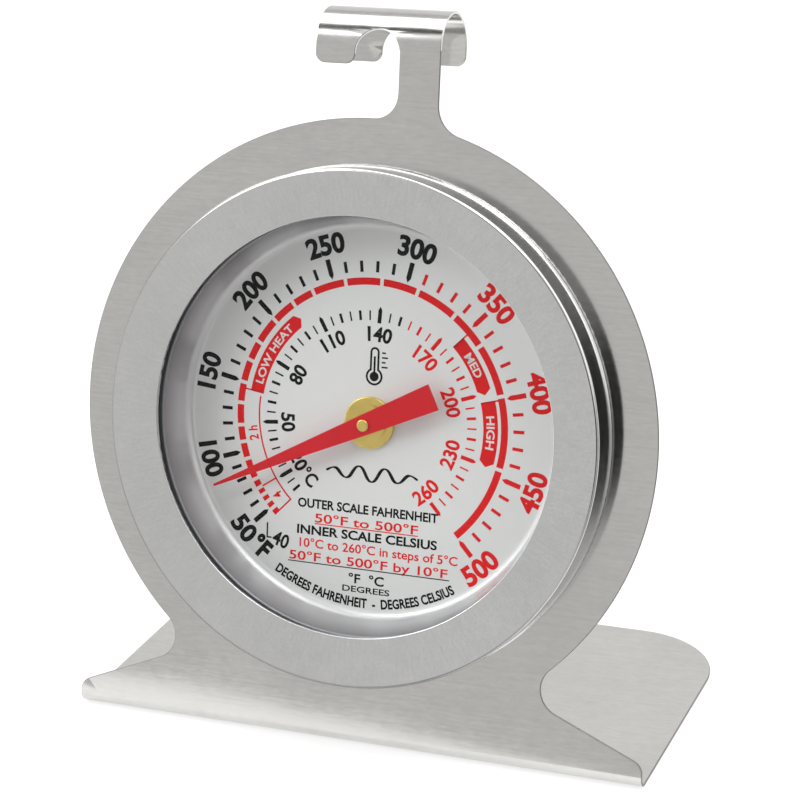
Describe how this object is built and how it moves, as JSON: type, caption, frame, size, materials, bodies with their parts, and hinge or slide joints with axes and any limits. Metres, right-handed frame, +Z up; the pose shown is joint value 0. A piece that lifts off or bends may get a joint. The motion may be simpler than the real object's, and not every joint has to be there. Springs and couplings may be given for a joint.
{
  "type": "oven thermometer",
  "caption": "Round dial oven thermometer with a red pointer behind glass, on a folded sheet steel stand that leans back and has a rolled hook on top for hanging from a rack wire.",
  "frame": {"origin": "centre of the whole thermometer's outline in plan, on the surface it stands on", "axes": "+Z up, +X to the right of the dial, the dial faces -Y and leans back; the foot runs back along +Y"},
  "size_m": [0.0766, 0.0464, 0.0899],
  "materials": {
    "stand_steel": "satin, brushed sideways",
    "case_steel": "drawn, satin",
    "bezel_steel": "satin with a bright rolled edge",
    "glass": "clear flat glass",
    "dial": "satin silver with printed scales",
    "brass": "turned",
    "pointer_red": "satin red",
    "staff_steel": "ground",
    "rivet_aluminium": "headed",
    "coil_bimetal": "rolled strip"
  },
  "bodies": {
    "case": {"stand_plate": "stand_steel", "case_cup": "case_steel", "bezel_ring": "bezel_steel", "lens_glass": "glass", "dial_plate": "dial", "spacer_ring": "case_steel", "dial_bush": "brass", "bush_nut": "brass", "rear_bearing": "brass", "coil_anchor_post": "brass", "case_rivets": "rivet_aluminium", "bimetal_coil": "coil_bimetal"},
    "pointer_set": {"pointer": "pointer_red", "pointer_rivet": "brass", "pointer_hub": "brass", "pointer_staff": "staff_steel", "coil_arbor": "brass"}
  },
  "joints": [
    {"name": "pointer_turn", "type": "hinge", "parent": "case", "child": "pointer_set", "pos_m": [0, -0.01166, 0.04048], "axis": [0, 0.9802, -0.1978], "range_deg": [-21, 254], "stiffness_Nm_per_rad": 0.001, "deforming": ["bimetal_coil"]}
  ]
}
